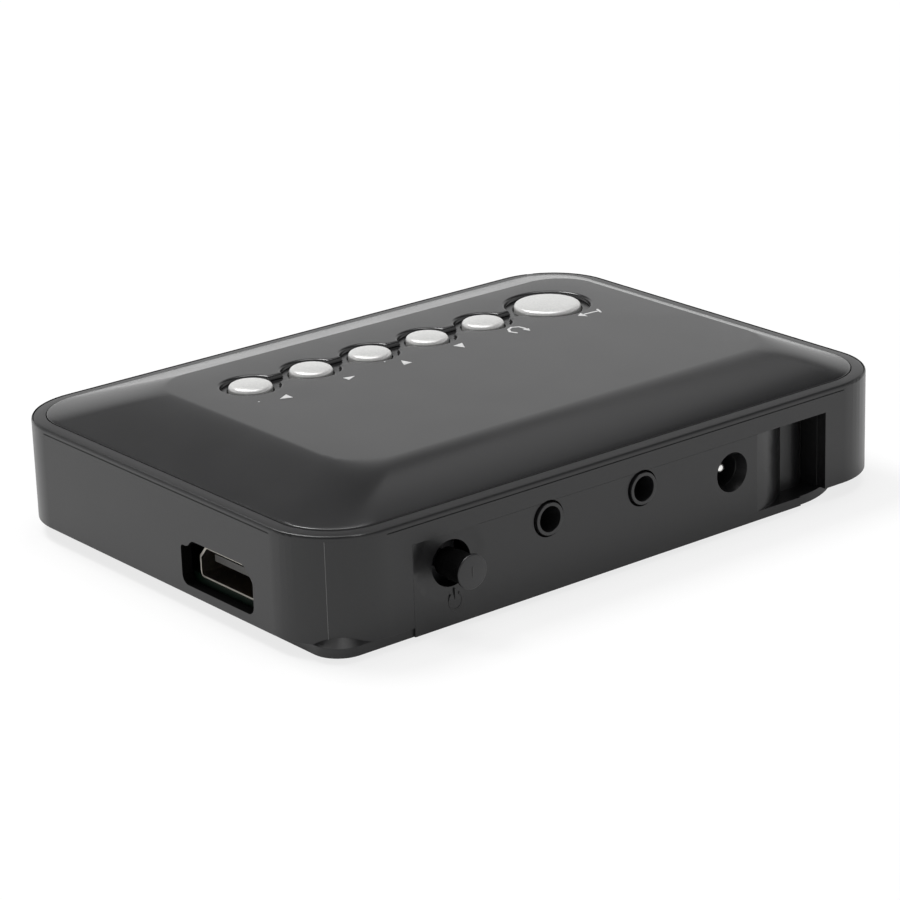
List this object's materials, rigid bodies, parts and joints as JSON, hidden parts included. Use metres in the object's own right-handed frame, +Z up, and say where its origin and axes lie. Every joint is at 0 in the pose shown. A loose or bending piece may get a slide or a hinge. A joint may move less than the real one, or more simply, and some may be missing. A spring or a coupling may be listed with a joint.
{
  "type": "media player",
  "caption": "Small black desk media player with a domed top, a row of round silver keys, sockets on two sides and a push-button power switch.",
  "frame": {"origin": "middle of the whole part in plan, power button included, on the surface that the four feet stand on", "axes": "+Z up; +X along the long side, away from the display socket; -Y towards the side with the power button and round sockets"},
  "size_m": [0.125, 0.095, 0.0248],
  "materials": {
    "black_case_plastic": "fine moulded texture",
    "black_cover_plastic": "satin",
    "black_base_plastic": "fine moulded texture",
    "foot_rubber": "matte",
    "silver_key_paint": "satin",
    "black_button_plastic": "semi-gloss",
    "socket_plastic": "semi-gloss",
    "nickel_plate": "satin",
    "gold_plate": "polished",
    "pale_insulator": "matte",
    "green_board": "lacquered",
    "screw_steel": "zinc plated",
    "switch_plastic": "matte",
    "plunger_plastic": "matte",
    "tinted_window": "polished",
    "lamp_lens": "polished",
    "chip_resin": "matte",
    "sink_aluminium": "extruded",
    "can_sleeve": "satin",
    "coil_ferrite": "matte",
    "crystal_can": "satin",
    "header_plastic": "matte",
    "ribbon_film": "satin"
  },
  "bodies": {
    "case": {"case_wall": "black_case_plastic", "top_cover": "black_cover_plastic", "base_plate": "black_base_plastic", "foot_1": "foot_rubber", "foot_2": "foot_rubber", "foot_3": "foot_rubber", "foot_4": "foot_rubber", "cover_screws": "screw_steel", "enter_key_switch": "switch_plastic", "key_board": "green_board", "key_board_screws": "screw_steel", "main_board": "green_board", "board_screws": "screw_steel", "hdmi_shell": "nickel_plate", "hdmi_tongue": "pale_insulator", "hdmi_contacts": "gold_plate", "audio_socket_body": "socket_plastic", "audio_socket_contacts": "nickel_plate", "component_socket_body": "socket_plastic", "component_socket_contacts": "nickel_plate", "supply_socket_body": "socket_plastic", "supply_socket_pin": "nickel_plate", "power_switch_body": "switch_plastic", "usb_shell": "nickel_plate", "usb_tongue": "pale_insulator", "card_socket": "nickel_plate", "receiver_window": "tinted_window", "remote_receiver": "chip_resin", "status_lamp": "lamp_lens", "main_chip": "chip_resin", "heat_sink": "sink_aluminium", "memory_chips": "chip_resin", "flash_chip": "chip_resin", "power_coil": "coil_ferrite", "board_capacitors": "can_sleeve", "clock_crystal": "crystal_can", "ribbon_headers": "header_plastic", "key_ribbon": "ribbon_film", "key_switch_1": "switch_plastic", "key_switch_2": "switch_plastic", "key_switch_3": "switch_plastic", "key_switch_4": "switch_plastic", "key_switch_5": "switch_plastic"},
    "key_1": {"key_cap_1": "silver_key_paint", "key_plunger_1": "plunger_plastic"},
    "key_2": {"key_cap_2": "silver_key_paint", "key_plunger_2": "plunger_plastic"},
    "key_3": {"key_cap_3": "silver_key_paint", "key_plunger_3": "plunger_plastic"},
    "key_4": {"key_cap_4": "silver_key_paint", "key_plunger_4": "plunger_plastic"},
    "key_5": {"key_cap_5": "silver_key_paint", "key_plunger_5": "plunger_plastic"},
    "enter_key": {"enter_key_cap": "silver_key_paint", "enter_key_plunger": "plunger_plastic"},
    "power_button": {"power_button_cap": "black_button_plastic", "power_switch_stem": "switch_plastic"}
  },
  "joints": [
    {"name": "key_1_press", "type": "slide", "parent": "case", "child": "key_1", "axis": [0, 0, -1], "range_m": [0, 0.0006], "stiffness_N_per_m": 300, "springref_m": -0.0005},
    {"name": "key_2_press", "type": "slide", "parent": "case", "child": "key_2", "axis": [0, 0, -1], "range_m": [0, 0.0006], "stiffness_N_per_m": 300, "springref_m": -0.0005},
    {"name": "key_3_press", "type": "slide", "parent": "case", "child": "key_3", "axis": [0, 0, -1], "range_m": [0, 0.0006], "stiffness_N_per_m": 300, "springref_m": -0.0005},
    {"name": "key_4_press", "type": "slide", "parent": "case", "child": "key_4", "axis": [0, 0, -1], "range_m": [0, 0.0006], "stiffness_N_per_m": 300, "springref_m": -0.0005},
    {"name": "key_5_press", "type": "slide", "parent": "case", "child": "key_5", "axis": [0, 0, -1], "range_m": [0, 0.0006], "stiffness_N_per_m": 300, "springref_m": -0.0005},
    {"name": "enter_key_press", "type": "slide", "parent": "case", "child": "enter_key", "axis": [0, 0, -1], "range_m": [0, 0.0006], "stiffness_N_per_m": 300, "springref_m": -0.0005},
    {"name": "power_button_press", "type": "slide", "parent": "case", "child": "power_button", "axis": [0, 1, 0], "range_m": [0, 0.0025], "stiffness_N_per_m": 250, "springref_m": -0.002}
  ]
}
